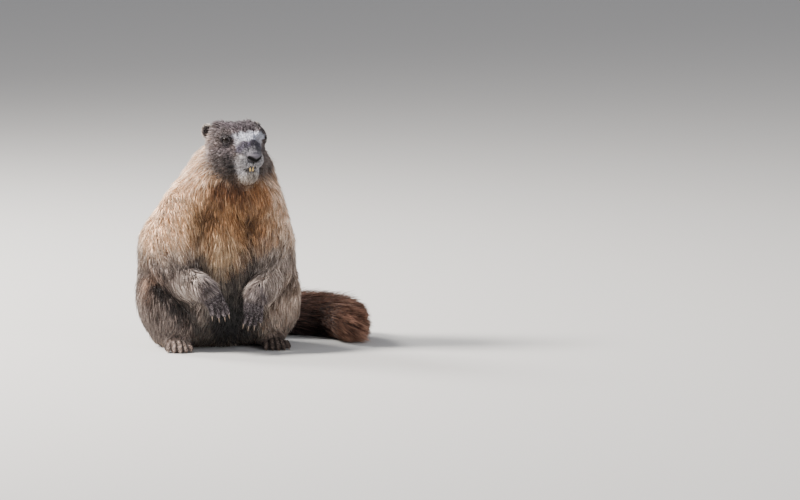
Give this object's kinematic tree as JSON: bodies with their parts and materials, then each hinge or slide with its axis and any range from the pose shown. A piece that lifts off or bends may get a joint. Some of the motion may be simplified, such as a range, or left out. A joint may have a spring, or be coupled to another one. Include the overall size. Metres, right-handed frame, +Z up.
{
  "type": "yellow-bellied marmot, still life-size model",
  "caption": "Life-size sitting marmot, forepaws hanging over the belly, head turned to its left, bushy tail laid beside it.",
  "frame": {"origin": "on the floor, on the flat under the rump that the animal sits on", "axes": "+Z up, the animal faces -Y, and its left side, where the tail lies, is +X"},
  "size_m": [0.3024, 0.2499, 0.2967],
  "materials": {
    "body_coat": "dense grizzled fur, dark at the root and pale at the tip",
    "mantle_coat": "pale yellow-brown fur over the neck and shoulders",
    "face_coat": "short grey-brown fur with a white band and a pale muzzle",
    "arm_coat": "grizzled brown fur",
    "hand_coat": "short dark brown fur",
    "thigh_coat": "dense red-brown fur",
    "foot_coat": "short pale brown fur over bare skin",
    "tail_coat": "long bushy fur, dark with rust tips",
    "nose": "bare damp skin",
    "eye": "wet dark brown",
    "claw": "dark horn",
    "incisor": "yellow enamel"
  },
  "bodies": {
    "root": {"torso": "body_coat", "neck": "mantle_coat", "head": "face_coat", "nose": "nose", "eye_right": "eye", "incisor_right": "incisor", "ear_right": "face_coat", "upper_arm_right": "arm_coat", "thigh_right": "thigh_coat", "forearm_right": "arm_coat", "hand_right": "hand_coat", "fore_claw_right_1": "claw", "fore_claw_right_2": "claw", "fore_claw_right_3": "claw", "fore_claw_right_4": "claw", "shank_right": "thigh_coat", "foot_right": "foot_coat", "hind_claw_right_1": "claw", "hind_claw_right_2": "claw", "hind_claw_right_3": "claw", "hind_claw_right_4": "claw", "hind_claw_right_5": "claw", "eye_left": "eye", "incisor_left": "incisor", "ear_left": "face_coat", "upper_arm_left": "arm_coat", "thigh_left": "thigh_coat", "forearm_left": "arm_coat", "hand_left": "hand_coat", "fore_claw_left_1": "claw", "fore_claw_left_2": "claw", "fore_claw_left_3": "claw", "fore_claw_left_4": "claw", "shank_left": "thigh_coat", "foot_left": "foot_coat", "hind_claw_left_1": "claw", "hind_claw_left_2": "claw", "hind_claw_left_3": "claw", "hind_claw_left_4": "claw", "hind_claw_left_5": "claw", "tail_1": "tail_coat", "tail_2": "tail_coat", "tail_3": "tail_coat"}
  },
  "joints": []
}
